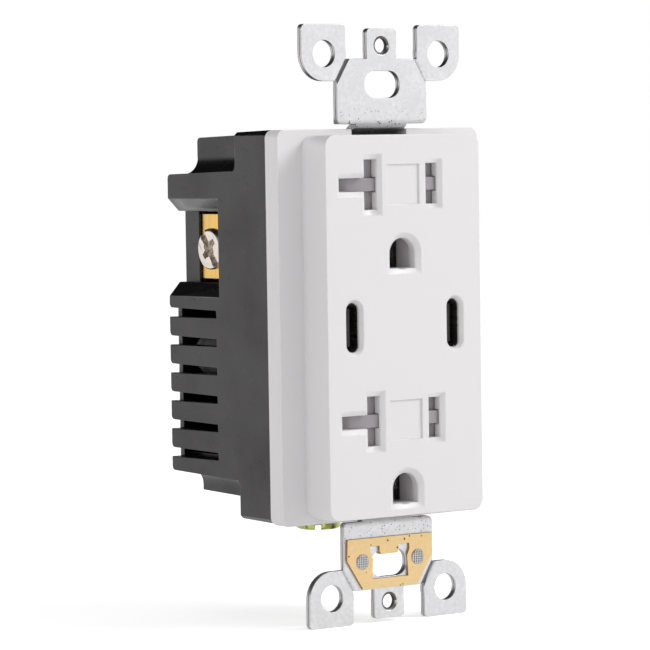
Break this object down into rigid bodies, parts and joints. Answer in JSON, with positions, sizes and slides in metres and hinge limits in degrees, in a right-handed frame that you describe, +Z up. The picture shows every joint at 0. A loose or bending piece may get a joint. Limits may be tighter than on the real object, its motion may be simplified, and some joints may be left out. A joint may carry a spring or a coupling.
{
  "type": "duplex wall outlet",
  "caption": "Flush wall outlet with a rectangular raised face, paired shuttered sockets, upright charging ports, a galvanised mounting strap and a vented black rear housing.",
  "frame": {"origin": "midway between the two box screw slots, in the plane of the strap's rear face, which is the wall surface", "axes": "+X to the right as seen from the room, +Y into the wall, +Z up"},
  "size_m": [0.0434, 0.0413, 0.104],
  "materials": {
    "white_cover": "fine satin white moulding",
    "black_housing": "satin black moulding with light handling marks",
    "natural_nylon": "natural nylon",
    "zinc_steel": "zinc plated steel sheet",
    "clip_brass": "spring brass, slightly spotted",
    "bronze": "spring bronze",
    "brass": "plain brass",
    "nickel_screw": "nickel plated, driven marks",
    "brass_screw": "brass plated",
    "green_screw": "green-yellow passivated zinc",
    "grey_shutter": "mid grey moulding",
    "spring_steel": "drawn wire",
    "port_steel": "drawn stainless steel",
    "black_plastic": "moulded",
    "circuit_board": "solder mask",
    "ferrite": "sintered",
    "insulating_film": "thin film",
    "coil_tape": "polyester tape",
    "capacitor_sleeve": "shrunk sleeve",
    "yellow_case": "moulded case",
    "blue_lacquer": "dipped lacquer",
    "fuse_sleeve": "epoxy coat",
    "aluminium": "rolled"
  },
  "bodies": {
    "outlet_body": {"face_cover": "white_cover", "rear_housing": "black_housing", "contact_carrier": "natural_nylon", "shutter_tray": "natural_nylon", "mounting_strap": "zinc_steel", "grounding_clip": "clip_brass", "ground_contacts": "bronze", "ground_rivets": "zinc_steel", "neutral_bus": "brass", "hot_bus": "brass", "upper_shutter_spring": "spring_steel", "lower_shutter_spring": "spring_steel", "left_port_shell": "port_steel", "right_port_shell": "port_steel", "left_port_tongue": "black_plastic", "right_port_tongue": "black_plastic", "port_board": "circuit_board", "port_controllers": "black_plastic", "port_inductors": "ferrite", "board_header": "black_plastic", "insulating_film": "insulating_film", "power_board": "circuit_board", "transformer_bobbin": "black_plastic", "transformer_core": "ferrite", "transformer_coil": "coil_tape", "storage_capacitors": "capacitor_sleeve", "line_capacitor": "yellow_case", "surge_disc": "blue_lacquer", "line_fuse": "fuse_sleeve", "line_choke": "ferrite", "heat_sink": "aluminium", "power_transistor": "black_plastic", "bridge_rectifier": "black_plastic", "isolator_chip": "black_plastic", "housing_screws": "zinc_steel"},
    "upper_shutter": {"upper_shutter": "grey_shutter"},
    "lower_shutter": {"lower_shutter": "grey_shutter"},
    "neutral_clamp": {"neutral_clamp": "brass"},
    "neutral_screw": {"neutral_screw": "nickel_screw"},
    "hot_clamp": {"hot_clamp": "brass"},
    "hot_screw": {"hot_screw": "brass_screw"},
    "ground_clamp": {"ground_clamp": "zinc_steel"},
    "ground_screw": {"ground_screw": "green_screw"}
  },
  "joints": [
    {"name": "upper_shutter_slide", "type": "slide", "parent": "outlet_body", "child": "upper_shutter", "axis": [1, 0, 0], "range_m": [0, 0.0076], "stiffness_N_per_m": 40, "springref_m": -0.004, "deforming": ["upper_shutter_spring"]},
    {"name": "lower_shutter_slide", "type": "slide", "parent": "outlet_body", "child": "lower_shutter", "axis": [1, 0, 0], "range_m": [0, 0.0076], "stiffness_N_per_m": 40, "springref_m": -0.004, "deforming": ["lower_shutter_spring"]},
    {"name": "neutral_clamp_slide", "type": "slide", "parent": "outlet_body", "child": "neutral_clamp", "axis": [-1, 0, 0], "range_m": [-0.0022, 0.0009]},
    {"name": "neutral_screw_turn", "type": "hinge", "parent": "neutral_clamp", "child": "neutral_screw", "pos_m": [-0.0196, 0.0244, 0.0133], "axis": [-1, 0, 0], "range_deg": [-998, 409]},
    {"name": "hot_clamp_slide", "type": "slide", "parent": "outlet_body", "child": "hot_clamp", "axis": [1, 0, 0], "range_m": [-0.0022, 0.0009]},
    {"name": "hot_screw_turn", "type": "hinge", "parent": "hot_clamp", "child": "hot_screw", "pos_m": [0.0196, 0.0244, 0.0133], "axis": [1, 0, 0], "range_deg": [-998, 409]},
    {"name": "ground_clamp_slide", "type": "slide", "parent": "outlet_body", "child": "ground_clamp", "axis": [0, 0, -1], "range_m": [-0.0022, 0.0007]},
    {"name": "ground_screw_turn", "type": "hinge", "parent": "ground_clamp", "child": "ground_screw", "pos_m": [-0.0085, 0.008, -0.0357], "axis": [0, 0, -1], "range_deg": [-998, 318]}
  ],
  "couplings": [
    {"joint": "neutral_screw_turn", "follows": "neutral_clamp_slide", "rad_per_m": 7913.3},
    {"joint": "hot_screw_turn", "follows": "hot_clamp_slide", "rad_per_m": 7913.3},
    {"joint": "ground_screw_turn", "follows": "ground_clamp_slide", "rad_per_m": 7913.3}
  ]
}
